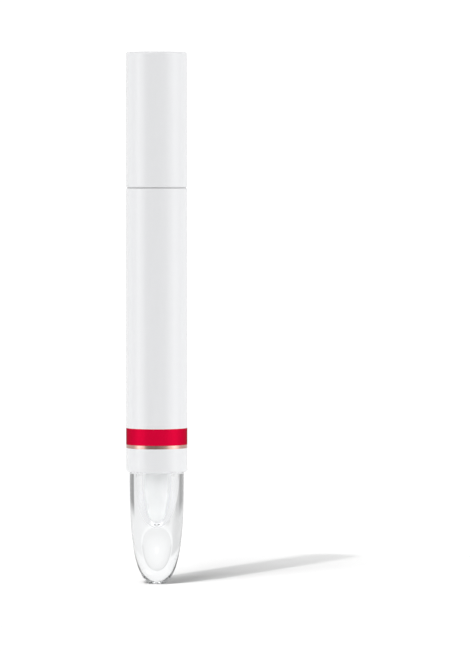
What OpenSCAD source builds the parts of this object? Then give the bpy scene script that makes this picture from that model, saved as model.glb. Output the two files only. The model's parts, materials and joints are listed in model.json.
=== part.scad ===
// Nail oil pen with a felt tip, a thick clear cap and spare tips under its tail cap.
// All sizes are in millimetres. The pen stands on the clear cap's foot, whose centre is the origin, and +Z is up.

/* [Outside] */
// Diameter of the barrel and the tail cap
barrel_d = 15.6; // [13.6:0.1:18]
// Length of the barrel from its front face to its rear face
barrel_len = 72.05; // [64:0.05:90]
// Length of the tail cap
tail_len = 34.25; // [32:0.05:44]
// Length of the clear cap that shows in front of the barrel
cap_show_len = 28.4; // [25:0.1:34]
// Height of the seam between the barrel and the tail cap
seam_gap = 0.3; // [0.1:0.05:0.5]

/* [Barrel] */
// Wall of the barrel
barrel_wall = 1.2; // [0.9:0.05:1.5]
// Radius of the barrel's front edge
front_edge_r = 0.6; // [0.2:0.05:0.8]
// Radius of the edges on both sides of the seam
seam_edge_r = 0.15; // [0.05:0.05:0.3]
// Chamfer at both mouths of the barrel's bore
bore_lead = 0.25; // [0.1:0.05:0.4]

/* [Printed rings] */
// Distance from the barrel's front face to the bronze line
bronze_offset = 6.1; // [3:0.1:12]
// Width of the bronze line
bronze_w = 0.9; // [0.4:0.1:2]
// Width of the red band
red_w = 4.2; // [2:0.1:10]
// Depth of the printed layer in the barrel's side
print_t = 0.08; // [0.05:0.01:0.2]

/* [Clear cap] */
// Step from the barrel's side in to the clear cap's side
cap_step = 0.86; // [0.62:0.02:1.2]
// Fullness of the cap's side, from a plain taper upwards
cap_side_power = 2.7; // [2:0.1:4]
// Fullness of the cap's end, from a point upwards
cap_end_power = 2.8; // [1.6:0.1:3.2]
// Diameter of the flat foot at the cap's end, on which the pen stands
foot_d = 3.6; // [2.4:0.1:5]
// Fullness of the hollow's side
hollow_side_power = 2.5; // [2:0.05:3.5]
// Fullness of the hollow's end
hollow_end_power = 2; // [1.6:0.1:2.6]
// Radius of the cap's edge below the barrel
cap_edge_r = 0.2; // [0.1:0.05:0.4]
// Length of the neck that slides into the barrel
neck_len = 6; // [4:0.1:9]
// Wall of the neck
neck_wall = 0.59; // [0.4:0.01:0.9]
// Radial gap between the neck's plain part and the barrel
neck_gap = 0.16; // [0.1:0.01:0.3]
// Distance from the barrel's front face up to the ledge
ledge_rise = 0.6; // [0.3:0.1:1.2]

/* [Inner cap] */
// Radial gap between the thimble and the hollow's mouth
thimble_gap = 0.95; // [0.5:0.05:1.2]
// Wall of the thimble
thimble_wall = 0.4; // [0.3:0.05:0.6]
// Thickness of the flange
flange_t = 0.8; // [0.5:0.05:1.4]
// Height of the sealing lip above the flange
lip_h = 0.9; // [0.4:0.1:1.5]
// Radial taper of the thimble from the nose's front to its round end
thimble_taper = 0.75; // [0.3:0.05:0.9]
// Room between the thimble's end and the hollow's end
thimble_room = 0.75; // [0.4:0.05:2]
// Room between the felt tip and the thimble's floor
tip_room = 0.6; // [0.4:0.05:2]

/* [Felt tips] */
// Diameter of a felt tip
tip_d = 3.5; // [2.8:0.05:4]
// Length of a felt tip
tip_len = 22; // [18:0.5:25]
// Length of the mounted tip that stands out of the nose
tip_show = 6.25; // [5:0.05:8]
// Length of a tip's rounded end
bullet_len = 2.6; // [1.5:0.1:4]
// Chamfer at a tip's plain end
tip_chamfer = 0.35; // [0.15:0.05:0.6]

/* [Front section] */
// Wall of the nose round the tip
nose_wall = 0.66; // [0.5:0.02:0.9]
// Length of the nose that reaches below the ledge
nose_reach = 6.6; // [4:0.1:8]
// Step from the nose out to the cone behind it
cone_step = 0.8; // [0.4:0.1:1.2]
// Radius of the cone at its top
cone_top_r = 5; // [4.4:0.1:5.2]
// Length of the plug that is pressed into the barrel
plug_len = 9.3; // [6:0.1:14]
// Length of the spigot inside the oil cartridge
spigot_len = 6; // [3:0.1:9]
// Width of an air groove
air_groove_w = 0.5; // [0.3:0.05:0.8]
// Depth of an air groove
air_groove_depth = 0.3; // [0.15:0.05:0.4]

/* [Oil store] */
// Wall of the oil cartridge
cartridge_wall = 0.7; // [0.5:0.05:1]
// Thickness of the film round the fibre
film_t = 0.15; // [0.1:0.01:0.3]
// Diameter of the feed wick
wick_d = 2.8; // [2:0.1:3.2]
// Depth of the wick's end in the fibre
wick_dip = 2.6; // [1:0.1:8]
// Length of the cartridge plug inside the cartridge
stopper_len = 4; // [2:0.1:6]
// Thickness of the cartridge plug's rim
stopper_rim_t = 1; // [0.6:0.1:2]
// Wall of the cartridge plug's cup
stopper_wall = 0.8; // [0.5:0.1:1.4]

/* [Rear neck] */
// Length of the rear neck inside the barrel
rear_spigot_len = 4; // [2.5:0.1:7]
// Length of the rear neck inside the tail cap
rear_neck_len = 8; // [5:0.1:12]
// Wall of the rear neck
rear_neck_wall = 0.8; // [0.6:0.05:1.1]
// Floor of the rear neck
rear_neck_floor = 1.2; // [0.8:0.1:2]
// Depth of the seam's floor behind the outside
seam_depth = 0.35; // [0.2:0.05:0.6]

/* [Tip tray] */
// Depth of a socket for a spare tip
socket_depth = 8; // [5:0.1:8.6]
// Least wall between a socket and the tray's side
socket_wall = 0.6; // [0.4:0.05:0.7]
// Depth of the tray's top below the neck's mouth
tray_recess = 0.75; // [0.3:0.05:1.5]

/* [Tail cap] */
// Wall of the tail cap
tail_wall = 0.9; // [0.7:0.05:1.2]
// Thickness of the tail cap's top
tail_top_t = 1.2; // [0.8:0.1:2.5]
// Radius of the tail cap's top edge
top_edge_r = 0.65; // [0.3:0.05:0.8]
// Wall of the liner
liner_wall = 0.65; // [0.45:0.05:0.9]
// Thickness of the liner's top
liner_top_t = 0.6; // [0.4:0.1:1.2]
// Distance of the liner's mouth behind the tail cap's rim
liner_recess = 0.5; // [0.2:0.1:2]

/* [Hidden] */

// Clearances between pieces that move on each other, and between pieces that are slipped together
slide_clear = 0.04;
tip_clear = 0.05;
slip_clear = 0.1;
film_clear = 0.2;
end_clear = 0.3;
// Overrun of every cut
over = 1;
// Sides of a full circle, steps of a rounded edge and steps of a curved outline
round_fn = 96;
edge_steps = 5;
curve_steps = 26;

// Chamfers and small rims
small_chamfer = 0.3;
ring_w = 0.5;
ring_place_shares = [0.3, 0.72];
plug_groove_w = 0.6;
plug_groove_depth = 0.2;
plug_groove_shares = [0.35, 0.6];

// Spares and air grooves per turn
spare_count = 3;
groove_count = 3;

// Heights along the axis, from the foot upwards
barrel_front_z = cap_show_len;
barrel_rear_z = barrel_front_z + barrel_len;
tail_rim_z = barrel_rear_z + seam_gap;
top_z = tail_rim_z + tail_len;
neck_top_z = barrel_front_z + neck_len;
ledge_z = barrel_front_z + ledge_rise;
nose_front_z = ledge_z - nose_reach;
tip_front_z = nose_front_z - tip_show;
thimble_floor_z = tip_front_z - tip_room;
thimble_end_z = thimble_floor_z - thimble_wall;
hollow_end_z = thimble_end_z - thimble_room;
lip_top_z = ledge_z + flange_t + lip_h;
cone_front_z = lip_top_z + end_clear;
plug_front_z = neck_top_z + end_clear;
plug_rear_z = plug_front_z + plug_len;
spigot_end_z = plug_rear_z + spigot_len;
tip_rear_z = tip_front_z + tip_len;
neck_bottom_z = barrel_rear_z - rear_spigot_len;
cartridge_end_z = neck_bottom_z - stopper_rim_t;
stopper_front_z = cartridge_end_z - stopper_len;
fibre_front_z = spigot_end_z + end_clear;
fibre_rear_z = stopper_front_z - end_clear;
wick_end_z = fibre_front_z + wick_dip;
bronze_z = barrel_front_z + bronze_offset;
red_z = bronze_z + bronze_w;
red_top_z = red_z + red_w;
rear_neck_top_z = tail_rim_z + rear_neck_len;
cup_floor_z = neck_bottom_z + rear_neck_floor;
tray_top_z = rear_neck_top_z - tray_recess;
socket_floor_z = tray_top_z - socket_depth;
tail_ceiling_z = top_z - tail_top_t;
liner_mouth_z = tail_rim_z + liner_recess;
liner_ceiling_z = tail_ceiling_z - liner_top_t;

// Radii, from the outside inwards
barrel_r = barrel_d / 2;
bore_r = barrel_r - barrel_wall;
cap_mouth_r = barrel_r - cap_step;
neck_r = bore_r - neck_gap;
neck_ring_h = neck_gap - slide_clear;
neck_in_r = neck_r - neck_wall;
tip_r = tip_d / 2;
tip_bore_r = tip_r + tip_clear;
nose_r = tip_bore_r + nose_wall;
thimble_bore_r = nose_r + slide_clear;
thimble_r = thimble_bore_r + thimble_wall;
thimble_end_r = thimble_r - thimble_taper;
hollow_r = thimble_r + thimble_gap;
wick_r = wick_d / 2;
wick_bore_r = wick_r + tip_clear;
cartridge_r = bore_r - slip_clear;
cartridge_bore_r = cartridge_r - cartridge_wall;
film_r = cartridge_bore_r - film_clear;
fibre_r = film_r - film_t;
seam_floor_r = barrel_r - seam_depth;
tail_bore_r = barrel_r - tail_wall;
liner_bore_r = tail_bore_r - liner_wall;
rear_neck_r = liner_bore_r - tip_clear;
cup_r = rear_neck_r - rear_neck_wall;
socket_r = tip_r + tip_clear;
socket_pitch_r = cup_r - socket_wall - socket_r;

// Points of an arc round centre c, from angle a to angle b
function arc(c, r, a, b) =
  [for (i = [0 : edge_steps])
    let (t = a + (b - a) * i / edge_steps)
    [c.x + r * cos(t), c.y + r * sin(t)]];

// Points of a bullet outline from its wide end at height wide_z to its other end at height end_z, which is
// cut flat at radius flat_r. side_power and end_power set how full the side and the end are, and 2 with 2
// is an ellipse.
function bullet(wide_r, wide_z, end_z, side_power, end_power, flat_r = 0) =
  let (last = acos(pow(flat_r / wide_r, end_power / 2)))
  [for (i = [0 : curve_steps])
    let (t = last * i / curve_steps)
    [wide_r * pow(cos(t), 2 / end_power),
     wide_z + (end_z - wide_z) * pow(sin(t) / sin(last), 2 / side_power)]];

function reversed(list) = [for (i = [len(list) - 1 : -1 : 0]) list[i]];

// Points of a raised ring of height h and width ring_w at height z on a side of radius r
function raised_ring(r, z, h) =
  [[r, z - ring_w / 2 - h], [r + h, z - ring_w / 2], [r + h, z + ring_w / 2], [r, z + ring_w / 2 + h]];

// Points of a groove of depth h and width w at height z in a side of radius r
function side_groove(r, z, w, h) =
  [[r, z - w / 2], [r - h, z - w / 2], [r - h, z + w / 2], [r, z + w / 2]];

// A full turn of an outline given as points of radius and height
module turned(points) {
  rotate_extrude($fn = round_fn) polygon(points);
}

// A plain ring between two radii and two heights
module ring(inner_r, outer_r, low_z, high_z) {
  turned([[inner_r, low_z], [outer_r, low_z], [outer_r, high_z], [inner_r, high_z]]);
}

// Thick clear cap: full outside with a flat foot, neck with two friction rings, ledge and a bullet-shaped hollow
module clear_cap() {
  side = bullet(cap_mouth_r, barrel_front_z - cap_edge_r, 0, cap_side_power, cap_end_power, foot_d / 2);
  edge = arc([cap_mouth_r - cap_edge_r, barrel_front_z - cap_edge_r], cap_edge_r, 0, 90);
  rings = [for (share = ring_place_shares)
    each raised_ring(neck_r, barrel_front_z + neck_len * share, neck_ring_h)];
  neck = [
    [neck_r, barrel_front_z], each rings,
    [neck_r, neck_top_z - small_chamfer], [neck_r - small_chamfer, neck_top_z],
    [neck_in_r, neck_top_z], [neck_in_r, ledge_z]
  ];
  hollow = bullet(hollow_r, ledge_z, hollow_end_z, hollow_side_power, hollow_end_power);
  color([0.93, 0.95, 0.96, 0.35]) turned(concat([[0, 0]], reversed(side), edge, neck, hollow));
}

// Thimble that seals the tip: flange on the cap's ledge, sealing lip, straight wall round the nose and a tapered
// round-ended well round the felt tip
module inner_cap() {
  centre_z = thimble_end_z + thimble_end_r;
  inner_end_r = thimble_end_r - thimble_wall;
  outer_end = arc([0, centre_z], thimble_end_r, -90, 0);
  inner_end = arc([0, centre_z], inner_end_r, 0, -90);
  wall = [
    [thimble_r, nose_front_z], [thimble_r, ledge_z], [neck_in_r, ledge_z], [neck_in_r, ledge_z + flange_t],
    [thimble_r, ledge_z + flange_t], [thimble_r, lip_top_z - thimble_wall / 2],
    [thimble_r - thimble_wall / 2, lip_top_z], [thimble_bore_r, lip_top_z],
    [thimble_bore_r, nose_front_z]
  ];
  color([0.95, 0.95, 0.93, 0.8]) turned(concat(outer_end, wall, inner_end));
}

// One felt tip with its plain end at height zero and its rounded end up
module tip() {
  round_end = bullet(tip_r, tip_len - bullet_len, tip_len, 2, 2);
  color([0.97, 0.97, 0.95])
    turned(concat([[0, 0], [tip_r - tip_chamfer, 0], [tip_r, tip_chamfer]], round_end));
}

// Felt tip in the nose, with its rounded end down
module felt_tip() {
  translate([0, 0, tip_rear_z]) rotate([180, 0, 0]) tip();
}

// Nose, cone, pressed plug and spigot, with the tip's socket, the wick's bore and air grooves beside both
module front_section() {
  grooves = [for (share = plug_groove_shares)
    each side_groove(bore_r, plug_front_z + plug_len * share, plug_groove_w, plug_groove_depth)];
  outline = [
    [tip_bore_r, nose_front_z], [nose_r - small_chamfer, nose_front_z],
    [nose_r, nose_front_z + small_chamfer], [nose_r, cone_front_z],
    [nose_r + cone_step, cone_front_z], [cone_top_r, plug_front_z],
    [bore_r - small_chamfer, plug_front_z], [bore_r, plug_front_z + small_chamfer], each grooves,
    [bore_r, plug_rear_z], [cartridge_bore_r, plug_rear_z],
    [cartridge_bore_r, spigot_end_z - small_chamfer], [cartridge_bore_r - small_chamfer, spigot_end_z],
    [wick_bore_r, spigot_end_z], [wick_bore_r, tip_rear_z], [tip_bore_r, tip_rear_z]
  ];
  color([0.96, 0.96, 0.95]) difference() {
    turned(outline);
    for (i = [0 : groove_count - 1])
      rotate([0, 0, i * 360 / groove_count])
        translate([0, -air_groove_w / 2, nose_front_z - over])
          cube([tip_bore_r + air_groove_depth, air_groove_w, spigot_end_z - nose_front_z + over + over]);
  }
}

// Fibre core from the mounted tip's rear end into the oil store
module feed_wick() {
  color([0.94, 0.94, 0.88]) translate([0, 0, tip_rear_z])
    cylinder(h = wick_end_z - tip_rear_z, r = wick_r, $fn = round_fn);
}

// White outer tube with a shallow recess for the printed rings
module barrel() {
  front_edge = arc([barrel_r - front_edge_r, barrel_front_z + front_edge_r], front_edge_r, -90, 0);
  rear_edge = arc([barrel_r - seam_edge_r, barrel_rear_z - seam_edge_r], seam_edge_r, 0, 90);
  print_recess = [
    [barrel_r, bronze_z], [barrel_r - print_t, bronze_z],
    [barrel_r - print_t, red_top_z], [barrel_r, red_top_z]
  ];
  bore = [
    [bore_r + bore_lead, barrel_rear_z], [bore_r, barrel_rear_z - bore_lead],
    [bore_r, barrel_front_z + bore_lead], [bore_r + bore_lead, barrel_front_z]
  ];
  color([0.97, 0.97, 0.98]) turned(concat(front_edge, print_recess, rear_edge, bore));
}

module red_band() {
  color([0.83, 0.02, 0.21]) ring(barrel_r - print_t, barrel_r, red_z, red_top_z);
}

module bronze_band() {
  color([0.58, 0.42, 0.37]) ring(barrel_r - print_t, barrel_r, bronze_z, red_z);
}

// Inner tube that holds the oil store between the front section and the cartridge plug
module oil_cartridge() {
  color([0.9, 0.91, 0.9, 0.8]) ring(cartridge_bore_r, cartridge_r, plug_rear_z, cartridge_end_z);
}

module reservoir_film() {
  color([0.85, 0.88, 0.9, 0.6]) ring(fibre_r, film_r, fibre_front_z, fibre_rear_z);
}

// Bonded fibre store with a blind hole for the wick
module reservoir_fibre() {
  color([0.93, 0.9, 0.76]) turned([
    [0, wick_end_z], [wick_bore_r, wick_end_z], [wick_bore_r, fibre_front_z],
    [fibre_r, fibre_front_z], [fibre_r, fibre_rear_z], [0, fibre_rear_z]
  ]);
}

// Cup-shaped plug with a rim that the rear neck holds down
module cartridge_plug() {
  floor_z = stopper_front_z + stopper_wall;
  cup_in_r = cartridge_bore_r - stopper_wall;
  color([0.94, 0.94, 0.93]) turned([
    [0, stopper_front_z], [cartridge_bore_r - small_chamfer, stopper_front_z],
    [cartridge_bore_r, stopper_front_z + small_chamfer], [cartridge_bore_r, cartridge_end_z],
    [cartridge_r, cartridge_end_z], [cartridge_r, neck_bottom_z],
    [cup_in_r, neck_bottom_z], [cup_in_r, floor_z], [0, floor_z]
  ]);
}

// Cup pressed into the barrel's rear: its flange is the seam's floor and its neck carries the tail cap
module rear_neck() {
  color([0.94, 0.94, 0.95]) turned([
    [0, neck_bottom_z], [bore_r - small_chamfer, neck_bottom_z], [bore_r, neck_bottom_z + small_chamfer],
    [bore_r, barrel_rear_z], [seam_floor_r, barrel_rear_z], [seam_floor_r, tail_rim_z],
    [rear_neck_r, tail_rim_z], [rear_neck_r, rear_neck_top_z - small_chamfer],
    [rear_neck_r - small_chamfer, rear_neck_top_z], [cup_r, rear_neck_top_z],
    [cup_r, cup_floor_z], [0, cup_floor_z]
  ]);
}

// Places its children at each spare tip's place round the axis, from the socket's floor
module at_spare(index) {
  rotate([0, 0, index * 360 / spare_count]) translate([socket_pitch_r, 0, socket_floor_z]) children();
}

module spare_tip_tray() {
  color([0.92, 0.93, 0.93]) difference() {
    translate([0, 0, cup_floor_z]) cylinder(h = tray_top_z - cup_floor_z, r = cup_r, $fn = round_fn);
    for (i = [0 : spare_count - 1]) at_spare(i) {
      cylinder(h = socket_depth + over, r = socket_r, $fn = round_fn);
      translate([0, 0, socket_depth - small_chamfer])
        cylinder(h = small_chamfer + small_chamfer, r1 = socket_r,
                 r2 = socket_r + small_chamfer + small_chamfer, $fn = round_fn);
    }
  }
}

module spare_tip_1() { at_spare(0) tip(); }
module spare_tip_2() { at_spare(1) tip(); }
module spare_tip_3() { at_spare(2) tip(); }

// White outer shell of the tail cap
module tail_cap() {
  rim_edge = arc([barrel_r - seam_edge_r, tail_rim_z + seam_edge_r], seam_edge_r, -90, 0);
  top_edge = arc([barrel_r - top_edge_r, top_z - top_edge_r], top_edge_r, 0, 90);
  inside = [
    [0, top_z], [0, tail_ceiling_z], [tail_bore_r, tail_ceiling_z], [tail_bore_r, tail_rim_z]
  ];
  color([0.97, 0.97, 0.98]) turned(concat(rim_edge, top_edge, inside));
}

// Sleeve inside the tail cap that slides on the rear neck
module tail_cap_liner() {
  color([0.93, 0.94, 0.94]) turned([
    [liner_bore_r + small_chamfer, liner_mouth_z], [tail_bore_r, liner_mouth_z],
    [tail_bore_r, tail_ceiling_z], [0, tail_ceiling_z], [0, liner_ceiling_z],
    [liner_bore_r, liner_ceiling_z], [liner_bore_r, liner_mouth_z + small_chamfer]
  ]);
}

clear_cap();
inner_cap();
felt_tip();
front_section();
feed_wick();
barrel();
red_band();
bronze_band();
oil_cartridge();
reservoir_film();
reservoir_fibre();
cartridge_plug();
rear_neck();
spare_tip_tray();
spare_tip_1();
spare_tip_2();
spare_tip_3();
tail_cap();
tail_cap_liner();
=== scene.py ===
"""Looks of the nail oil pen: the outside pieces at full detail, the finishes of all pieces and the studio.

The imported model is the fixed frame. Lengths in the piece classes are in millimetres and every Blender
object is in metres. The pen stands on its clear cap at the origin, with +Z up.
"""

from __future__ import annotations

import json
import logging
import math
from dataclasses import dataclass, field
from enum import Enum
from typing import Any, Iterable, Sequence, Union

import bpy
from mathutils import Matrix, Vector

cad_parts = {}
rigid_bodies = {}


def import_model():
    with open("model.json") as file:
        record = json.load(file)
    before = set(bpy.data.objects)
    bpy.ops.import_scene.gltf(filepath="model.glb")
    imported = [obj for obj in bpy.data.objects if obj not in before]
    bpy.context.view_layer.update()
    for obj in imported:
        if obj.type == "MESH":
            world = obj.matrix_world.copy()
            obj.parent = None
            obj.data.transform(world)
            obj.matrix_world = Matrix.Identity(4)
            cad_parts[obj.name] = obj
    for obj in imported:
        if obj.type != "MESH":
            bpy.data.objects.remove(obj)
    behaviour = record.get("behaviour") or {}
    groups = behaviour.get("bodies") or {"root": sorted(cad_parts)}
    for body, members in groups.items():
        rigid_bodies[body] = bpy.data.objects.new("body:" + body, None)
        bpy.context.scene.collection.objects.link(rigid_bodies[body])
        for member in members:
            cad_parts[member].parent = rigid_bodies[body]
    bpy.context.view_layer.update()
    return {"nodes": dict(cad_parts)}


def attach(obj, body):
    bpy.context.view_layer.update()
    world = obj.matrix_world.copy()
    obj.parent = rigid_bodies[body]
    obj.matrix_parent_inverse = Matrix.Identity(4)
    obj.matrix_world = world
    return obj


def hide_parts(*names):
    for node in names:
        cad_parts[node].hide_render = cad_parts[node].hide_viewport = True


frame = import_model()

LOG = logging.getLogger("nail_oil_pen")
MM = 0.001
TURN_STEPS = 192
MERGE_DISTANCE = 2e-6
# Power of a bullet's outline that makes it an ellipse
ELLIPSE = 2.0
# Shortest side that gets held, in insets
LONG_SIDE = 6.0

Point = tuple[float, float]
Outline = list[Point]
Colour = tuple[float, float, float, float]
Place = tuple[float, float, float]
Stops = tuple[tuple[float, float], ...]


class Body(Enum):
    """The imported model's bodies that pieces ride on."""

    PEN = "pen"
    FRONT_CAP = "front_cap"
    REAR_CAP = "rear_cap"
    SPARE_A = "spare_a"
    SPARE_B = "spare_b"
    SPARE_C = "spare_c"


# ---- shader maths ----


class Wire:
    """One output socket of a node, with the sums that shader maths needs."""

    def __init__(self, sheet: "Sheet", socket: bpy.types.NodeSocket) -> None:
        """Keeps the sheet that the socket's node lies on."""
        self.sheet = sheet
        self.socket = socket

    def _sum(self, operation: str, *values: "Value") -> "Wire":
        """Adds one Math node.

        Args:
            operation: the Math node's operation.
            values: its inputs, in order.

        Returns:
            The Math node's result.
        """
        inputs = dict(enumerate(values))
        return self.sheet.wire(self.sheet.node("ShaderNodeMath", {"operation": operation}, inputs))

    def __add__(self, other: "Value") -> "Wire":
        """self + other"""
        return self._sum("ADD", self, other)

    __radd__ = __add__

    def __sub__(self, other: "Value") -> "Wire":
        """self - other"""
        return self._sum("SUBTRACT", self, other)

    def __rsub__(self, other: "Value") -> "Wire":
        """other - self"""
        return self._sum("SUBTRACT", other, self)

    def __mul__(self, other: "Value") -> "Wire":
        """self * other"""
        return self._sum("MULTIPLY", self, other)

    __rmul__ = __mul__

    def __truediv__(self, other: "Value") -> "Wire":
        """self / other"""
        return self._sum("DIVIDE", self, other)

    def __pow__(self, other: "Value") -> "Wire":
        """self ** other"""
        return self._sum("POWER", self, other)

    def at_most(self, limit: "Value") -> "Wire":
        """The lower one of the value and limit."""
        return self._sum("MINIMUM", self, limit)

    def at_least(self, limit: "Value") -> "Wire":
        """The higher one of the value and limit."""
        return self._sum("MAXIMUM", self, limit)

    def angle_to(self, other: "Value") -> "Wire":
        """Angle of the point (other, self) round zero, in radians."""
        return self._sum("ARCTAN2", self, other)

    def clamped(self) -> "Wire":
        """The value, kept between 0 and 1."""
        return self.at_least(0.0).at_most(1.0)

    def between(self, low: float, high: float) -> "Wire":
        """The value, stretched so that 0 becomes low and 1 becomes high."""
        return low + self * (high - low)


Value = Union[Wire, float, Sequence[float]]


class Sheet:
    """The nodes of one material or of the world."""

    def __init__(self, owner: Union[bpy.types.Material, bpy.types.World]) -> None:
        """Clears the owner's nodes."""
        owner.use_nodes = True
        self.tree = owner.node_tree
        self.tree.nodes.clear()

    def node(
        self, kind: str, settings: dict[str, Any] | None = None, inputs: dict[Any, Value] | None = None
    ) -> bpy.types.Node:
        """Adds one node.

        Args:
            kind: the node's type.
            settings: its properties, set before its inputs; "stops" are a ramp's (place, colour) pairs.
            inputs: values or wires for its sockets, by name or index.

        Returns:
            The new node.
        """
        made = self.tree.nodes.new(kind)
        for name, value in (settings or {}).items():
            if name == "stops":
                self._set_stops(made.color_ramp, value)
            else:
                setattr(made, name, value)
        for key, value in (inputs or {}).items():
            if isinstance(value, Wire):
                self.tree.links.new(value.socket, made.inputs[key])
            else:
                made.inputs[key].default_value = value
        return made

    @staticmethod
    def _set_stops(ramp: bpy.types.ColorRamp, stops: Iterable[tuple[float, Colour]]) -> None:
        """Gives a colour ramp its stops, from left to right."""
        pairs = list(stops)
        while len(ramp.elements) < len(pairs):
            ramp.elements.new(1.0)
        for element, (place, colour) in zip(ramp.elements, pairs):
            element.position = place
            element.color = colour

    def wire(self, node: bpy.types.Node, output: Union[int, str] = 0) -> Wire:
        """One output of a node as a Wire."""
        return Wire(self, node.outputs[output])

    def place(self) -> Wire:
        """The point on the piece, in metres."""
        return self.wire(self.node("ShaderNodeTexCoord"), "Object")

    def stretched(self, along: float) -> Wire:
        """The point on the piece, with Z scaled by along for a grain that runs up the pen."""
        scale = (1.0, 1.0, along)
        return self.wire(self.node("ShaderNodeMapping", None, {"Vector": self.place(), "Scale": scale}))

    def grain(self, point: Wire, scale: float, detail: float = 2.0, rough: float = 0.5) -> Wire:
        """A noise from 0 to 1 at a point.

        Args:
            point: where the noise is read.
            scale: cells per metre.
            detail: number of finer octaves.
            rough: strength of the finer octaves.

        Returns:
            The noise's value.
        """
        noise = self.node(
            "ShaderNodeTexNoise", None, {"Vector": point, "Scale": scale, "Detail": detail, "Roughness": rough}
        )
        return self.wire(noise, 0)

    def blend(self, share: Value, low: Value, high: Value) -> Wire:
        """A colour between low and high.

        Args:
            share: 0 for low and 1 for high.
            low: first colour.
            high: second colour.

        Returns:
            The mixed colour.
        """
        kind = {"data_type": "RGBA", "clamp_factor": True}
        mixed = self.node("ShaderNodeMix", kind, {0: share, 6: low, 7: high})
        return self.wire(mixed, 2)

    def relief(self, height: Wire, depth: float, strength: float) -> Wire:
        """A bumped normal.

        Args:
            height: relief from 0 to 1.
            depth: depth of the relief, in metres.
            strength: share of the relief that shows.

        Returns:
            The normal.
        """
        bump = self.node("ShaderNodeBump", None, {"Strength": strength, "Distance": depth, "Height": height})
        return self.wire(bump)

    def principled(self, inputs: dict[str, Value]) -> bpy.types.Node:
        """Adds a Principled shader with these inputs."""
        return self.node("ShaderNodeBsdfPrincipled", None, inputs)

    def surface(self, shader: bpy.types.Node) -> None:
        """Makes a shader node the material's surface."""
        self.node("ShaderNodeOutputMaterial", None, {"Surface": self.wire(shader)})


# ---- finishes ----


@dataclass(frozen=True)
class Finish:
    """A finish that pieces are dressed in. Each kind adds its own nodes."""

    slot: str
    colour: Colour

    def nodes(self, sheet: Sheet) -> bpy.types.Node:
        """Adds the finish's nodes and returns its shader."""
        raise NotImplementedError

    def dimmed(self, share: float) -> Colour:
        """The finish's colour at a share of its brightness."""
        red, green, blue, _ = self.colour
        return (red * share, green * share, blue * share, 1.0)

    def material(self) -> bpy.types.Material:
        """The finish's material, made once."""
        found = bpy.data.materials.get(self.slot + "_finish")
        if found is not None:
            return found
        made = bpy.data.materials.new(self.slot + "_finish")
        made.diffuse_color = self.colour
        sheet = Sheet(made)
        sheet.surface(self.nodes(sheet))
        return made

    def dress(self, piece: bpy.types.Object) -> None:
        """Gives a new piece this finish as its only material."""
        piece.data.materials.clear()
        piece.data.materials.append(self.material())

    def dress_node(self, name: str) -> None:
        """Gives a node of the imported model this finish."""
        made = self.material()
        for place in frame["nodes"][name].material_slots:
            place.material = made


@dataclass(frozen=True)
class GlossyWhite(Finish):
    """Glossy white moulding with faint flow and handling marks."""

    slot: str = "white_gloss"
    colour: Colour = (0.795, 0.8, 0.812, 1.0)

    def nodes(self, sheet: Sheet) -> bpy.types.Node:
        """White shader whose roughness varies a little."""
        cloud = sheet.grain(sheet.place(), scale=140.0, detail=3.0)
        ripple = sheet.grain(sheet.stretched(along=0.35), scale=900.0)
        return sheet.principled(
            {
                "Base Color": sheet.blend(cloud, self.colour, self.dimmed(0.992)),
                "Roughness": cloud.between(0.1, 0.16),
                "IOR": 1.5,
                "Normal": sheet.relief(ripple, depth=0.000002, strength=0.15),
            }
        )


@dataclass(frozen=True)
class ClearPlastic(Finish):
    """Polished clear moulding with the faintest haze."""

    slot: str = "clear_plastic"
    colour: Colour = (0.955, 0.965, 0.97, 1.0)

    def nodes(self, sheet: Sheet) -> bpy.types.Node:
        """Clear shader whose roughness varies a little."""
        haze = sheet.grain(sheet.place(), scale=220.0, detail=3.0)
        return sheet.principled(
            {
                "Base Color": self.colour,
                "Roughness": haze.between(0.0, 0.01),
                "IOR": 1.49,
                "Transmission Weight": 1.0,
            }
        )


@dataclass(frozen=True)
class MilkyPlastic(Finish):
    """Milky moulding, dense enough to hide what is behind it."""

    slot: str = "milky_plastic"
    colour: Colour = (0.96, 0.96, 0.955, 1.0)

    def nodes(self, sheet: Sheet) -> bpy.types.Node:
        """Milky shader with slow clouds in its colour."""
        cloud = sheet.grain(sheet.place(), scale=260.0, detail=3.0)
        return sheet.principled(
            {
                "Base Color": sheet.blend(cloud, self.colour, self.dimmed(0.985)),
                "Roughness": cloud.between(0.24, 0.3),
                "IOR": 1.3,
            }
        )


@dataclass(frozen=True)
class SatinPlastic(Finish):
    """Satin moulding with an eroded mould grain."""

    slot: str = "satin_plastic"
    colour: Colour = (0.84, 0.845, 0.85, 1.0)

    def nodes(self, sheet: Sheet) -> bpy.types.Node:
        """Satin shader with a fine grain."""
        point = sheet.place()
        fine = sheet.grain(point, scale=4200.0)
        cloud = sheet.grain(point, scale=180.0)
        return sheet.principled(
            {
                "Base Color": sheet.blend(cloud, self.colour, self.dimmed(0.97)),
                "Roughness": fine.between(0.4, 0.52),
                "IOR": 1.49,
                "Normal": sheet.relief(fine, depth=0.000006, strength=0.35),
            }
        )


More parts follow.
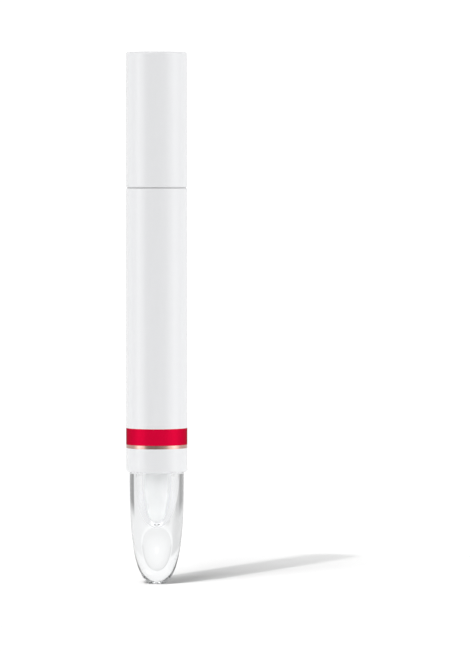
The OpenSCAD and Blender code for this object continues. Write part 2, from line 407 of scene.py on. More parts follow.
@dataclass(frozen=True)
class BondedFelt(Finish):
    """Bonded white fibre whose strands run up the tip."""

    slot: str = "white_felt"
    colour: Colour = (0.86, 0.85, 0.82, 1.0)
    # Painted shade in the low gaps between strands, where the relief is deepest
    gap_shade_colour: Colour = (0.66, 0.64, 0.6, 1.0)
    gap_level: float = 0.36
    gap_contrast: float = 3.2
    strand_share: float = 0.75

    def nodes(self, sheet: Sheet) -> bpy.types.Node:
        """Fibre shader: long strands across fine tangled ones, with painted shade in the gaps between them."""
        along = sheet.stretched(along=0.09)
        strands = sheet.grain(along, scale=5200.0, detail=3.0, rough=0.6)
        tangle = sheet.grain(sheet.place(), scale=7000.0)
        height = strands * self.strand_share + tangle * (1.0 - self.strand_share)
        # Painted shade: the colour darkens where the strands' height is low
        share = ((height - self.gap_level) * self.gap_contrast).clamped()
        return sheet.principled(
            {
                "Base Color": sheet.blend(share, self.gap_shade_colour, self.colour),
                "Roughness": tangle.between(0.94, 0.82),
                "IOR": 1.4,
                "Sheen Weight": 0.25,
                "Normal": sheet.relief(height, depth=0.00005, strength=0.8),
            }
        )


@dataclass(frozen=True)
class OiledFibre(Finish):
    """Bonded fibre store, soaked with golden oil."""

    slot: str = "oiled_fibre"
    colour: Colour = (0.78, 0.66, 0.36, 1.0)
    dry_colour: Colour = (0.86, 0.8, 0.6, 1.0)
    patch_share: float = 0.6

    def nodes(self, sheet: Sheet) -> bpy.types.Node:
        """Wet fibre shader with drier patches."""
        along = sheet.stretched(along=0.12)
        strands = sheet.grain(along, scale=3600.0, detail=3.0, rough=0.6)
        patch = sheet.grain(sheet.place(), scale=160.0)
        dry = patch * self.patch_share + strands * (1.0 - self.patch_share)
        return sheet.principled(
            {
                "Base Color": sheet.blend(dry, self.colour, self.dry_colour),
                "Roughness": strands.between(0.3, 0.7),
                "IOR": 1.47,
                "Normal": sheet.relief(strands, depth=0.00006, strength=0.6),
            }
        )


@dataclass(frozen=True)
class ClearFilm(Finish):
    """Thin clear film with soft creases up its length."""

    slot: str = "clear_film"
    colour: Colour = (0.93, 0.95, 0.96, 1.0)

    def nodes(self, sheet: Sheet) -> bpy.types.Node:
        """Clear shader with creases."""
        crease = sheet.grain(sheet.stretched(along=0.05), scale=520.0)
        return sheet.principled(
            {
                "Base Color": self.colour,
                "Roughness": crease.between(0.08, 0.18),
                "IOR": 1.4,
                "Transmission Weight": 0.9,
                "Normal": sheet.relief(crease, depth=0.00003, strength=0.5),
            }
        )


@dataclass(frozen=True)
class RedPrint(Finish):
    """Red print under a thin grey lacquer, whose longer light path at the sides darkens them."""

    slot: str = "red_print"
    colour: Colour = (0.9, 0.0034, 0.055, 1.0)
    deep_colour: Colour = (0.861, 0.0031, 0.05, 1.0)
    gloss_tint: Colour = (0.3, 0.0, 0.02, 1.0)
    lacquer_tint: Colour = (0.778, 0.778, 0.778, 1.0)

    def nodes(self, sheet: Sheet) -> bpy.types.Node:
        """Red shader with a slight orange peel."""
        peel = sheet.grain(sheet.place(), scale=1500.0)
        return sheet.principled(
            {
                "Base Color": sheet.blend(peel, self.colour, self.deep_colour),
                "Metallic": 0.16,
                "Roughness": peel.between(0.2, 0.26),
                "Specular IOR Level": 0.06,
                "Specular Tint": self.gloss_tint,
                "IOR": 1.1,
                "Coat Weight": 1.0,
                "Coat Roughness": 0.12,
                "Coat IOR": 1.02,
                "Coat Tint": self.lacquer_tint,
                "Normal": sheet.relief(peel, depth=0.000003, strength=0.25),
            }
        )


@dataclass(frozen=True)
class BronzeFoil(Finish):
    """Hot-stamped rose bronze foil with a fine grain round the barrel."""

    slot: str = "bronze_foil"
    colour: Colour = (0.62, 0.41, 0.35, 1.0)
    dark_colour: Colour = (0.5, 0.31, 0.26, 1.0)

    def nodes(self, sheet: Sheet) -> bpy.types.Node:
        """Metal shader with a fine grain."""
        grain = sheet.grain(sheet.stretched(along=9.0), scale=1300.0, detail=3.0)
        return sheet.principled(
            {
                "Base Color": sheet.blend(grain, self.colour, self.dark_colour),
                "Metallic": 0.95,
                "Roughness": grain.between(0.13, 0.2),
                "Normal": sheet.relief(grain, depth=0.000003, strength=0.15),
            }
        )


@dataclass(frozen=True)
class StudioPaper(Finish):
    """Plain pale floor. The clear cap shows it as an even, shadowless glow, with a brighter painted glow close
    to the foot.
    """

    slot: str = "studio_paper"
    colour: Colour = (0.47, 0.47, 0.47, 1.0)
    through_cap: Colour = (0.87, 0.87, 0.88, 1.0)
    # Brightness of the painted glow that the floor gives near the foot, seen only through the clear cap
    painted_glow_in_cap: Colour = (3.4, 3.4, 3.4, 1.0)
    deep_from: float = 3.5
    deep_over: float = 4.0
    foot_glow_r: float = 0.012
    foot_glow_soft: float = 0.005

    def nodes(self, sheet: Sheet) -> bpy.types.Node:
        """Matt white shader, and an even glowing one for what the clear cap gathers from the floor.

        Light that has crossed the cap's walls often, and hasn't met a matt surface, gets a brighter painted
        glow near the foot to make up for what the walls lose.

        Args:
            sheet: the floor's nodes.

        Returns:
            The mix of both shaders.
        """
        paper = sheet.principled({"Base Color": self.colour, "Roughness": 0.9, "Specular IOR Level": 0.1})
        path = sheet.node("ShaderNodeLightPath")
        # Painted glow: after many bounces in the cap, the floor glows brighter within foot_glow_r of the foot
        painted_glow_share = ((sheet.wire(path, "Ray Depth") - self.deep_from) / self.deep_over).clamped()
        painted_glow_share = painted_glow_share * (1.0 - sheet.wire(path, "Diffuse Depth").at_most(1.0))
        length = sheet.node("ShaderNodeVectorMath", {"operation": "LENGTH"}, {0: sheet.place()})
        reach = sheet.wire(length, "Value")
        painted_glow_share = painted_glow_share * ((self.foot_glow_r - reach) / self.foot_glow_soft).clamped()
        grey = sheet.blend(painted_glow_share, self.through_cap, self.painted_glow_in_cap)
        # Emission standing in for the lit floor seen through the cap, with the painted glow near the foot
        even = sheet.node("ShaderNodeEmission", None, {"Color": grey})
        gathered = sheet.wire(path, "Is Transmission Ray")
        both = {0: gathered, 1: sheet.wire(paper), 2: sheet.wire(even)}
        return sheet.node("ShaderNodeMixShader", None, both)


# ---- outlines ----


def arc(centre: Point, radius: float, start: float, end: float, steps: int = 8) -> Outline:
    """Points of a round corner.

    Args:
        centre: radius and height of the arc's centre.
        radius: the arc's own radius.
        start: angle of its first point, in degrees, 0 outwards and 90 up.
        end: angle of its last point, in degrees.
        steps: number of chords.

    Returns:
        The points, both ends included.
    """
    turns = [math.radians(start + (end - start) * i / steps) for i in range(steps + 1)]
    return [(centre[0] + radius * math.cos(t), centre[1] + radius * math.sin(t)) for t in turns]


def bullet(
    wide: Point, end_height: float, side_power: float, end_power: float, flat: float = 0.0, steps: int = 600
) -> Outline:
    """Points of a bullet from its wide end to its other end.

    Args:
        wide: radius and height of the wide end.
        end_height: height of the other end.
        side_power: fullness of the side, 2 for an ellipse.
        end_power: fullness of the end, 2 for an ellipse.
        flat: radius at which the end is cut flat.
        steps: number of chords.

    Returns:
        The points, both ends included.
    """
    last = math.acos((flat / wide[0]) ** (end_power / 2)) if flat else math.pi / 2
    points = []
    for i in range(steps + 1):
        t = last * i / steps
        radius = wide[0] * max(math.cos(t), 0.0) ** (2 / end_power)
        rise = (math.sin(t) / math.sin(last)) ** (2 / side_power)
        points.append((radius, wide[1] + (end_height - wide[1]) * rise))
    if not flat:
        points[-1] = (0.0, end_height)
    return evenly(points)


def partway(before: Point, after: Point, share: float) -> Point:
    """The point at a share of the way from one point to the next."""
    return (before[0] + share * (after[0] - before[0]), before[1] + share * (after[1] - before[1]))


def evenly(points: Outline, pitch: float = 0.25) -> Outline:
    """Spreads a curved outline's points evenly, so that its shading has no long faces.

    Args:
        points: the curve's points.
        pitch: distance between the new points.

    Returns:
        The new points, with the same ends.
    """
    lengths = [0.0]
    for before, after in zip(points, points[1:]):
        lengths.append(lengths[-1] + math.dist(before, after))
    count = max(2, round(lengths[-1] / pitch))
    spread, at = [points[0]], 0
    for i in range(1, count):
        along = lengths[-1] * i / count
        while lengths[at + 1] < along:
            at += 1
        share = (along - lengths[at]) / (lengths[at + 1] - lengths[at])
        spread.append(partway(points[at], points[at + 1], share))
    return spread + [points[-1]]


def held(points: Outline, inset: float = 0.1) -> Outline:
    """Adds a point just inside both ends of each long side.

    A rounded edge would else shade the whole side that it ends in.

    Args:
        points: the outline's points.
        inset: distance of the new points from the old ones.

    Returns:
        The outline with the new points.
    """
    kept = [points[0]]
    for before, after in zip(points, points[1:]):
        length = math.dist(before, after)
        if length > LONG_SIDE * inset:
            for share in (inset / length, 1 - inset / length):
                kept.append(partway(before, after, share))
        kept.append(after)
    return kept


# ---- modelling by operators ----


def alone(piece: bpy.types.Object) -> None:
    """Makes a piece the only selected object and the active one."""
    bpy.ops.object.select_all(action="DESELECT")
    piece.select_set(True)
    bpy.context.view_layer.objects.active = piece


def turned(
    name: str, outline: Outline, closed: bool, steps: int = TURN_STEPS, smooth: float = 35.0
) -> bpy.types.Object:
    """Turns an outline once round the pen's axis, as on a lathe.

    Args:
        name: the piece's name.
        outline: points of radius and height, in millimetres.
        closed: True for a ring, whose last point joins its first.
        steps: sides of a full turn.
        smooth: largest angle between faces that is shaded smooth, in degrees.

    Returns:
        The finished mesh object, at the origin.
    """
    bpy.ops.object.select_all(action="DESELECT")
    first = outline[0]
    bpy.ops.mesh.primitive_plane_add(size=MM, location=(first[0] * MM, 0.0, first[1] * MM))
    piece = bpy.context.active_object
    piece.name = name
    piece.data.name = name
    bpy.ops.object.transform_apply(location=True, rotation=True, scale=True)
    bpy.ops.object.mode_set(mode="EDIT")
    bpy.ops.mesh.merge(type="CENTER")
    path = held(outline + [first] if closed else outline)
    for before, after in zip(path, path[1:]):
        step = ((after[0] - before[0]) * MM, 0.0, (after[1] - before[1]) * MM)
        bpy.ops.mesh.extrude_region_move(TRANSFORM_OT_translate={"value": step})
    bpy.ops.mesh.select_all(action="SELECT")
    bpy.ops.mesh.spin(steps=steps, angle=math.tau, center=(0.0, 0.0, 0.0), axis=(0.0, 0.0, 1.0))
    bpy.ops.mesh.select_all(action="SELECT")
    bpy.ops.mesh.remove_doubles(threshold=MERGE_DISTANCE)
    bpy.ops.mesh.normals_make_consistent(inside=False)
    bpy.ops.object.mode_set(mode="OBJECT")
    bpy.ops.object.shade_smooth_by_angle(angle=math.radians(smooth))
    return piece


def finished(piece: bpy.types.Object, body: Body, finish: Finish, *nodes: str) -> None:
    """Dresses a piece, lets it ride on its body and puts it in its nodes' place.

    Args:
        piece: the mesh object.
        body: the body that it moves with.
        finish: what it is dressed in.
        nodes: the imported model's nodes that it stands for.
    """
    finish.dress(piece)
    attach(piece, body.value)
    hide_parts(*nodes)
    LOG.info("%s: %d faces, in place of %s", piece.name, len(piece.data.polygons), ", ".join(nodes))


# ---- sub-assemblies ----


@dataclass
class ClearFrontCap:
    """Thick clear cap with its thimble: solid end, bullet hollow, ledge and friction neck."""

    mouth_r: float = 6.94
    mouth_z: float = 28.4
    edge_r: float = 0.2
    foot_r: float = 1.8
    side_power: float = 2.7
    end_power: float = 2.8
    neck_r: float = 6.44
    neck_in_r: float = 5.85
    neck_top_z: float = 34.4
    neck_edge_r: float = 0.25
    neck_rings_z: tuple[float, float] = (30.2, 32.72)
    ring_h: float = 0.12
    ring_w: float = 0.5
    ledge_z: float = 29.0
    hollow_r: float = 3.85
    hollow_z: float = 14.4
    hollow_side_power: float = 2.5
    flange_t: float = 0.8
    flange_fillet_r: float = 0.15
    flange_lead: float = 0.05
    flange_edge: float = 0.1
    lip_z: float = 30.7
    thimble_r: float = 2.9
    thimble_bore_r: float = 2.5
    thimble_end_r: float = 2.15
    thimble_end_z: float = 15.15
    nose_z: float = 22.4
    wall: float = 0.4
    air: float = 0.02
    cap_steps: int = 224
    cap_smooth: float = 30.0
    thimble_steps: int = 128
    clear: ClearPlastic = field(default_factory=ClearPlastic)
    milky: MilkyPlastic = field(default_factory=MilkyPlastic)

    def shell(self) -> bpy.types.Object:
        """Turns the clear moulding."""
        side_z = self.mouth_z - self.edge_r
        side = bullet((self.mouth_r, side_z), 0.0, self.side_power, self.end_power, self.foot_r)
        edge = arc((self.mouth_r - self.edge_r, side_z), self.edge_r, 0, 90)
        rings: Outline = []
        for height in self.neck_rings_z:
            rings += [
                (self.neck_r, height - self.ring_w / 2 - self.ring_h),
                (self.neck_r + self.ring_h, height - self.ring_w / 2),
                (self.neck_r + self.ring_h, height + self.ring_w / 2),
                (self.neck_r, height + self.ring_w / 2 + self.ring_h),
            ]
        rim_centre = (self.neck_r - self.neck_edge_r, self.neck_top_z - self.neck_edge_r)
        rim = arc(rim_centre, self.neck_edge_r, 0, 90)
        hollow = bullet((self.hollow_r, self.ledge_z), self.hollow_z, self.hollow_side_power, ELLIPSE)
        outline = [(0.0, 0.0), *reversed(side), *edge, (self.neck_r, self.mouth_z), *rings, *rim]
        outline += [(self.neck_in_r, self.neck_top_z), (self.neck_in_r, self.ledge_z), *hollow]
        return turned(
            "clear_cap_moulding", outline, closed=False, steps=self.cap_steps, smooth=self.cap_smooth
        )

    def thimble(self) -> bpy.types.Object:
        """Turns the sealing thimble with its flange and lip."""
        centre_z = self.thimble_end_z + self.thimble_end_r
        bottom = self.ledge_z + self.air
        top = self.ledge_z + self.flange_t
        reach = self.neck_in_r - self.air
        fillet, lead, edge, lip = self.flange_fillet_r, self.flange_lead, self.flange_edge, self.wall / 2
        outline = arc((0.0, centre_z), self.thimble_end_r, -90, 0, steps=24)
        outline += [(self.thimble_r, self.nose_z), (self.thimble_r, bottom - fillet)]
        outline += arc((self.thimble_r + fillet, bottom - fillet), fillet, 180, 90, steps=4)
        outline += [(reach - lead, bottom), (reach, bottom + lead), (reach, top - edge), (reach - edge, top)]
        outline += [(self.thimble_r, top), (self.thimble_r, self.lip_z - lip)]
        outline += arc((self.thimble_bore_r + lip, self.lip_z - lip), lip, 0, 180)
        outline += [(self.thimble_bore_r, self.nose_z)]
        outline += arc((0.0, centre_z), self.thimble_end_r - self.wall, 0, -90, steps=24)
        return turned("sealing_thimble", outline, closed=False, steps=self.thimble_steps)

    def build(self) -> None:
        """Builds and dresses the cap's pieces."""
        finished(self.shell(), Body.FRONT_CAP, self.clear, "clear_cap")
        finished(self.thimble(), Body.FRONT_CAP, self.milky, "inner_cap")


@dataclass
class FeltTips:
    """The mounted felt tip and the three spares."""

    tip_r: float = 1.75
    length: float = 22.0
    round_end: float = 2.6
    chamfer: float = 0.35
    mounted_z: float = 16.15
    spare_z: float = 100.0
    pitch_r: float = 3.0
    steps: int = 96
    felt: BondedFelt = field(default_factory=BondedFelt)

    def tip(self, name: str) -> bpy.types.Object:
        """Turns one tip with its plain end at height zero."""
        outline = [(0.0, 0.0), (self.tip_r - self.chamfer, 0.0), (self.tip_r, self.chamfer)]
        outline += bullet((self.tip_r, self.length - self.round_end), self.length, ELLIPSE, ELLIPSE)
        return turned(name, outline, closed=False, steps=self.steps)

    def build(self) -> None:
        """Builds one tip, turns it over for the nose and stands copies in the tray."""
        spare = self.tip("spare_tip_a")
        mounted = self.copy_of(spare, "mounted_felt_tip")
        bpy.ops.transform.rotate(value=math.pi, orient_axis="X", center_override=(0.0, 0.0, 0.0))
        bpy.ops.transform.translate(value=(0.0, 0.0, (self.mounted_z + self.length) * MM))
        bpy.ops.object.transform_apply(location=True, rotation=True, scale=True)
        spares = [spare, self.copy_of(spare, "spare_tip_b"), self.copy_of(spare, "spare_tip_c")]
        for i, piece in enumerate(spares):
            turn = math.tau * i / len(spares)
            place = (self.pitch_r * math.cos(turn) * MM, self.pitch_r * math.sin(turn) * MM, self.spare_z * MM)
            alone(piece)
            bpy.ops.transform.translate(value=place)
            bpy.ops.object.transform_apply(location=True, rotation=True, scale=True)
        finished(mounted, Body.PEN, self.felt, "felt_tip")
        for i, (piece, body) in enumerate(zip(spares, (Body.SPARE_A, Body.SPARE_B, Body.SPARE_C))):
            finished(piece, body, self.felt, f"spare_tip_{i + 1}")

    @staticmethod
    def copy_of(piece: bpy.types.Object, name: str) -> bpy.types.Object:
        """A selected copy of a piece with its own mesh."""
        alone(piece)
        bpy.ops.object.duplicate(linked=False)
        made = bpy.context.active_object
        made.name = name
        made.data.name = name
        return made


@dataclass
class Barrel:
    """White tube with its printed red ring and bronze line."""

    outer_r: float = 7.8
    bore_r: float = 6.6
    front_z: float = 28.4
    rear_z: float = 100.45
    front_edge_r: float = 0.6
    rear_edge_r: float = 0.22
    bore_lead: float = 0.25
    bronze_z: float = 34.5
    red_z: float = 35.4
    red_top_z: float = 39.6
    print_t: float = 0.08
    print_edge: float = 0.015
    white: GlossyWhite = field(default_factory=GlossyWhite)
    red: RedPrint = field(default_factory=RedPrint)
    bronze: BronzeFoil = field(default_factory=BronzeFoil)

    def tube(self) -> bpy.types.Object:
        """Turns the tube with the shallow recess for the rings."""
        recess_r = self.outer_r - self.print_t
        front, rear = self.front_edge_r, self.rear_edge_r
        outline = arc((self.outer_r - front, self.front_z + front), front, -90, 0, steps=12)
        outline += [(self.outer_r, self.bronze_z), (recess_r, self.bronze_z)]
        outline += [(recess_r, self.red_top_z), (self.outer_r, self.red_top_z)]
        outline += arc((self.outer_r - rear, self.rear_z - rear), rear, 0, 90)
        outline += [(self.bore_r + self.bore_lead, self.rear_z), (self.bore_r, self.rear_z - self.bore_lead)]
        outline += [(self.bore_r, self.front_z + self.bore_lead), (self.bore_r + self.bore_lead, self.front_z)]
        return turned("barrel_tube", outline, closed=True)

    def band(self, name: str, low: float, high: float) -> bpy.types.Object:
        """Turns one printed ring.

        Args:
            name: the ring's name.
            low: height of its lower edge.
            high: height of its upper edge.

        Returns:
            The ring.
        """
        inner, edge = self.outer_r - self.print_t, self.print_edge
        outline = [(inner, low), (self.outer_r - edge, low), (self.outer_r, low + edge)]
        outline += [(self.outer_r, high - edge), (self.outer_r - edge, high), (inner, high)]
        return turned(name, outline, closed=True)

    def build(self) -> None:
        """Builds and dresses the tube and both rings."""
        finished(self.tube(), Body.PEN, self.white, "barrel")
        finished(self.band("red_ring", self.red_z, self.red_top_z), Body.PEN, self.red, "red_band")
        finished(self.band("bronze_line", self.bronze_z, self.red_z), Body.PEN, self.bronze, "bronze_band")


@dataclass
class TailCap:
    """Long white cap over the spare tips, with a flat top."""

    outer_r: float = 7.8
    bore_r: float = 6.9
    rim_z: float = 100.75
    top_z: float = 135.0
    ceiling_z: float = 133.8
    rim_edge_r: float = 0.22
    top_edge_r: float = 0.65
    white: GlossyWhite = field(default_factory=GlossyWhite)

    def shell(self) -> bpy.types.Object:
        """Turns the cap's shell."""
        rim, top = self.rim_edge_r, self.top_edge_r
        outline = [(self.bore_r, self.rim_z)]
        outline += arc((self.outer_r - rim, self.rim_z + rim), rim, -90, 0)
        outline += arc((self.outer_r - top, self.top_z - top), top, 0, 90, steps=14)
        outline += [(0.0, self.top_z)]
        inside = [(0.0, self.ceiling_z), (self.bore_r, self.ceiling_z)]
        return turned("tail_cap_shell", outline + inside, closed=True)

    def build(self) -> None:
        """Builds and dresses the shell."""
        finished(self.shell(), Body.REAR_CAP, self.white, "tail_cap")


@dataclass
class InnerWorks:
    """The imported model's own pieces that stay as they are and only get their finishes."""

    satin: SatinPlastic = field(default_factory=SatinPlastic)
    # The grey on the rear neck is painted shade that darkens the seam between barrel and tail cap
    grey: SatinPlastic = SatinPlastic(slot="satin_grey_plastic", colour=(0.6, 0.6, 0.605, 1.0))
    milky: MilkyPlastic = field(default_factory=MilkyPlastic)
    felt: BondedFelt = field(default_factory=BondedFelt)
    oiled: OiledFibre = field(default_factory=OiledFibre)
    film: ClearFilm = field(default_factory=ClearFilm)

    def build(self) -> None:
        """Dresses each piece."""
        worn: dict[str, Finish] = {
            "front_section": self.satin,
            "feed_wick": self.felt,
            "oil_cartridge": self.milky,
            "reservoir_film": self.film,
            "reservoir_fibre": self.oiled,
            "cartridge_plug": self.satin,
            # Painted seam shade rather than the neck's own white
            "rear_neck": self.grey,
            "spare_tip_tray": self.satin,
            "tail_cap_liner": self.satin,
        }
        for name, finish in worn.items():
            finish.dress_node(name)
            LOG.info("%s: dressed in %s", name, finish.slot)


# ---- studio ----


@dataclass(frozen=True)
class FarLamp:
    """A soft far lamp: where it shines from, its light on a surface that faces it, and its width in degrees."""

    place: Place
    strength: float
    angle: float

    def on_side(self, side: float) -> FarLamp:
        """The same lamp for side 1, and its mirror image for side -1."""
        return FarLamp((side * self.place[0], *self.place[1:]), self.strength, self.angle)


@dataclass
class Studio:
    """Pale floor, far lamps, surroundings and the camera. Lengths are in metres."""

    floor_r: float = 0.118
    floor_z: float = -0.00005
    floor_steps: int = 96
    key: FarLamp = FarLamp((-46.5, -80.5, 135.0), 0.44, 18.0)
    sun: FarLamp = FarLamp((-46.5, -80.5, 135.0), 1.8, 1.8)
    glow: FarLamp = FarLamp((-46.5, -80.5, 135.0), 3.25, 27.0)
    inner: FarLamp = FarLamp((85.0, -53.0, 90.0), 0.78, 56.0)
    fill: FarLamp = FarLamp((85.0, -53.0, 12.0), 0.87, 30.0)
    low: FarLamp = FarLamp((0.0, -30.0, -100.0), 0.3, 60.0)
    lamp_scale: float = 0.01
    paper: StudioPaper = field(default_factory=StudioPaper)
    camera_place: Place = (0.0, -1.179, 0.106)
    camera_down: float = 1.969
    camera_right: float = 0.9674
    focal_px: float = 4640.0
    picture_height: float = 652.0
    sensor: float = 36.0
    clip: tuple[float, float] = (0.01, 100.0)
    # Brightness of the surroundings by azimuth, in degrees: 0 towards the camera, positive to the right
    walls: Stops = (
        (-180, 0.95), (-160, 0.85), (-140, 0.8), (-118, 0.84), (-97, 0.84), (-86, 1.3), (-72, 2.5), (-52, 1.65),
        (-40, 0.5), (-31, 0.3), (0, 0.27), (20, 0.42), (34, 0.65), (50, 1.6), (72, 2.5), (85, 1.8), (97, 1.0),
        (118, 0.86), (140, 0.85), (160, 0.85), (180, 0.95),
    )
    overhead: float = 0.5
    overhead_from: float = 55.0
    overhead_soft: float = 16.0
    table: float = 1.0
    table_from: float = -7.5
    table_soft: float = 3.0
    backdrop: float = 1.1
    full: float = 2.5
    # The same as seen through the clear cap, whose thick wall gathers the dark flags at both sides of the set:
    # flags below the elevation flag_top, cap_walls from there to upper_from, and upper_walls above it
    cap_walls: Stops = (
        (-180, 0.97), (-158, 0.95), (-150, 0.8), (-143, 0.76), (-110, 0.78), (-90, 1.3), (-70, 1.6), (-50, 1.0),
        (-35, 0.5), (0, 0.5), (20, 0.5), (35, 0.7), (50, 1.1), (70, 1.6), (90, 1.6), (110, 0.88), (140, 0.91),
        (180, 0.97),
    )
    flags: Stops = (
        (-180, 0.9), (-174, 0.86), (-171, 0.5), (-161, 0.45), (-158, 0.85), (-152, 0.85), (-144, 0.62),
        (-139, 0.6), (-132, 0.34), (-117, 0.33), (-108, 0.46), (-100, 0.62), (-90, 1.2), (-50, 1.0), (-35, 0.5),
        (0, 0.5), (35, 0.7), (50, 1.1), (90, 1.4), (97, 0.3), (108, 0.26), (132, 0.26), (137, 0.9), (158, 0.92),
        (162, 0.75), (172, 0.75), (176, 0.93), (180, 0.9),
    )
    upper_walls: Stops = (
        (-180, 1.03), (-110, 1.03), (-90, 1.3), (-70, 1.6), (-50, 1.0), (-35, 0.5),
        (0, 0.5), (35, 0.7), (50, 1.1), (70, 1.6), (90, 1.5), (110, 1.03), (180, 1.03),
    )
    flag_top: float = -1.0
    flag_soft: float = 2.0
    upper_from: float = 9.0
    upper_soft: float = 2.0
    cap_table: float = 0.85
    cap_table_from: float = -4.7
    cap_table_soft: float = 0.8
    # The lit oval on the wall behind the pen: its middle and half sizes in degrees, its soft edge, and its
    # brightness from the middle outwards, with the rim at 1
    oval_middle: float = 4.2
    oval_width: float = 27.0
    oval_drop: float = 4.7
    oval_rise: float = 11.8
    oval_soft: float = 1.0
    oval_edge: float = 1.06
    oval_edge_soft: float = 0.06
    oval_reach: float = 2.0
    oval_low: Stops = (
        (0, 1.15), (0.1, 1.08), (0.16, 1.02), (0.5, 0.98), (0.85, 0.92), (0.93, 0.91), (0.98, 1.02),
        (1.02, 1.02), (1.07, 0.97),
    )
    oval_high: Stops = (
        (0, 1.15), (0.1, 1.08), (0.16, 1.02), (0.4, 1.0), (0.7, 0.95), (0.9, 0.88), (0.96, 0.8),
        (1.0, 0.8), (1.05, 1.03),
    )

    def floor(self) -> bpy.types.Object:
        """Lays the floor and returns it."""
        bpy.ops.object.select_all(action="DESELECT")
        place = (0.0, 0.0, self.floor_z)
        bpy.ops.mesh.primitive_circle_add(
            vertices=self.floor_steps, radius=self.floor_r, fill_type="NGON", location=place
        )
        floor = bpy.context.active_object
        floor.name = "floor"
        bpy.ops.object.transform_apply(location=True, rotation=True, scale=True)
        floor.data.materials.append(self.paper.material())
        floor.data.materials[0].cycles.emission_sampling = "NONE"
        return floor

    def lamp(self, name: str, lamp: FarLamp, *lit: bpy.types.Object) -> bpy.types.Object:
        """Hangs a lamp.

        Args:
            name: the lamp's name.
            lamp: its place, strength and width.
            lit: the only objects that it lights; everything where none is given.

        Returns:
            The lamp.
        """
        drawn_at = tuple(c * self.lamp_scale for c in lamp.place)
        bpy.ops.object.light_add(type="SUN", location=drawn_at)
        hung = bpy.context.active_object
        hung.name = name
        hung.data.energy = lamp.strength
        hung.data.angle = math.radians(lamp.angle)
        hung.rotation_euler = Vector(lamp.place).to_track_quat("Z", "Y").to_euler()
        if lit:
            hung.light_linking.receiver_collection = self.group(name + "_lit", *lit)
            hung.data.cycles.use_multiple_importance_sampling = False
        return hung

    @staticmethod
    def group(name: str, *members: bpy.types.Object) -> bpy.types.Collection:
        """A collection of the objects that one lamp treats in its own way."""
        made = bpy.data.collections.new(name)
        for member in members:
            made.objects.link(member)
        return made

    def lamps(self, floor: bpy.types.Object) -> None:
        """Hangs the key light, two lamps for the floor and five for the thimble in the clear cap."""
        self.lamp("key_light", self.key)
        self.lamp("floor_sun", self.sun, floor)
        self.lamp("floor_glow", self.glow, floor)
        objects = bpy.data.objects
        thimble = objects["sealing_thimble"]
        stopping = self.group("inner_light_stopped", frame["nodes"]["front_section"], objects["barrel_tube"])
        aside = self.group("fill_light_stopped", objects["tail_cap_shell"])
        for name, side in (("right", 1.0), ("left", -1.0)):
            inner = self.lamp("inner_" + name, self.inner.on_side(side), thimble)
            inner.light_linking.blocker_collection = stopping
            fill = self.lamp("fill_" + name, self.fill.on_side(side), thimble)
            fill.light_linking.blocker_collection = aside
        low = self.lamp("thimble_low", self.low, thimble)
        low.light_linking.blocker_collection = aside

    def surroundings(self) -> None:
        """Makes the even studio walls, with their brightness by azimuth."""
        world = bpy.data.worlds.new("studio_walls")
        bpy.context.scene.world = world
        sheet = Sheet(world)
        direction = sheet.wire(sheet.node("ShaderNodeTexCoord"), "Generated")
        parts = sheet.node("ShaderNodeSeparateXYZ", None, {0: direction})
        side, depth, rise = (sheet.wire(parts, axis) for axis in "XYZ")
        share = side.angle_to(depth * -1.0) / math.tau + 0.5
        plain = self.grey(self.backdrop)
        around = self.by_azimuth(sheet, share, self.walls)
        above_table = self.above(rise, self.table_from, self.table_soft)
        around = sheet.blend(above_table, self.grey(self.table), around)
        overhead = self.above(rise, self.overhead_from, self.overhead_soft)
        around = sheet.blend(overhead, around, self.grey(self.overhead))
        through = self.by_azimuth(sheet, share, self.cap_walls)
        above_flags = self.above(rise, self.flag_top, self.flag_soft)
        through = sheet.blend(above_flags, self.by_azimuth(sheet, share, self.flags), through)
        upper = self.above(rise, self.upper_from, self.upper_soft)
        through = sheet.blend(upper, through, self.by_azimuth(sheet, share, self.upper_walls))
        through = self.with_oval(sheet, side, depth, rise, through)
        above_table = self.above(rise, self.cap_table_from, self.cap_table_soft)
        through = sheet.blend(above_table, self.grey(self.cap_table), through)
        path = sheet.node("ShaderNodeLightPath")
        colour = sheet.blend(sheet.wire(path, "Is Transmission Ray"), around, through)
        colour = sheet.blend(sheet.wire(path, "Is Camera Ray"), colour, plain)
        both = sheet.node("ShaderNodeBackground", None, {"Color": colour, "Strength": self.full})
        sheet.node("ShaderNodeOutputWorld", None, {"Surface": sheet.wire(both)})

    def with_oval(self, sheet: Sheet, side: Wire, depth: Wire, rise: Wire, wall: Wire) -> Wire:
        """Adds the lit oval behind the pen.

        Args:
            sheet: the world's nodes.
            side: share of the direction to the right.
            depth: share of the direction away from the camera.
            rise: share of the direction upwards.
            wall: brightness round the oval.

        Returns:
            The brightness with the oval.
        """
        across = side.angle_to(depth) / math.radians(self.oval_width)
        up = rise - math.sin(math.radians(self.oval_middle))
        outs = [
            (across * across + (up / math.radians(half)) ** 2.0) ** 0.5
            for half in (self.oval_drop, self.oval_rise)
        ]
        halves = [
            self.by_share(sheet, out / self.oval_reach, [(at / self.oval_reach, value) for at, value in stops])
            for out, stops in zip(outs, (self.oval_low, self.oval_high))
        ]
        upper = self.above(rise, self.oval_middle, self.oval_soft)
        out = outs[0] + (outs[1] - outs[0]) * upper
        outside = ((out - self.oval_edge) / self.oval_edge_soft).clamped()
        return sheet.blend(outside, sheet.blend(upper, *halves), wall)

    def grey(self, brightness: float) -> Colour:
        """A brightness as a grey below 1, for the ramps."""
        return (brightness / self.full,) * 3 + (1.0,)

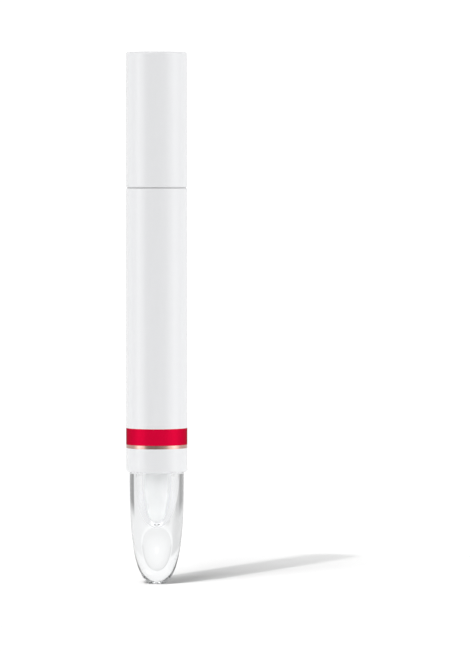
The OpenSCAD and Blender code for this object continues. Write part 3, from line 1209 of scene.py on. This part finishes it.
    def by_azimuth(self, sheet: Sheet, share: Wire, stops: Stops) -> Wire:
        """Brightness of one layer of the surroundings by azimuth, from pairs of degrees and brightness."""
        return self.by_share(sheet, share, [((angle + 180.0) / 360.0, value) for angle, value in stops])

    def by_share(self, sheet: Sheet, share: Wire, stops: Iterable[tuple[float, float]]) -> Wire:
        """Brightness along a ramp.

        Args:
            sheet: the world's nodes.
            share: place on the ramp, from 0 to 1.
            stops: pairs of place and brightness.

        Returns:
            The brightness as a grey.
        """
        greys = [(at, self.grey(value)) for at, value in stops]
        ramp = sheet.node("ShaderNodeValToRGB", {"stops": greys}, {0: share})
        ramp.color_ramp.interpolation = "EASE"
        return sheet.wire(ramp)

    @staticmethod
    def above(rise: Wire, elevation: float, soft: float) -> Wire:
        """A mask that is 1 above an elevation.

        Args:
            rise: sine of the elevation.
            elevation: middle of the change, in degrees.
            soft: width of the change, in degrees.

        Returns:
            The mask.
        """
        low, high = (math.sin(math.radians(elevation + side * soft / 2)) for side in (-1, 1))
        return ((rise - low) / (high - low)).clamped()

    def camera(self) -> None:
        """Sets the camera where the photograph was taken from."""
        tilt = (math.radians(90.0 - self.camera_down), 0.0, math.radians(-self.camera_right))
        bpy.ops.object.camera_add(location=self.camera_place, rotation=tilt)
        camera = bpy.context.active_object
        camera.name = "camera"
        camera.data.sensor_width = self.sensor
        camera.data.lens = self.focal_px * self.sensor / self.picture_height
        camera.data.clip_start, camera.data.clip_end = self.clip
        bpy.context.scene.camera = camera

    def build(self) -> None:
        """Sets up the studio."""
        floor = self.floor()
        self.lamps(floor)
        self.surroundings()
        self.camera()
        bpy.context.scene.view_settings.view_transform = "Standard"
        LOG.info("studio: floor, lamps, surroundings and camera")


def main() -> None:
    """Builds the sub-assemblies and the studio in order."""
    logging.basicConfig(level=logging.INFO, format="%(name)s: %(message)s")
    ClearFrontCap().build()
    FeltTips().build()
    Barrel().build()
    TailCap().build()
    InnerWorks().build()
    Studio().build()


if __name__ == "__main__":
    main()
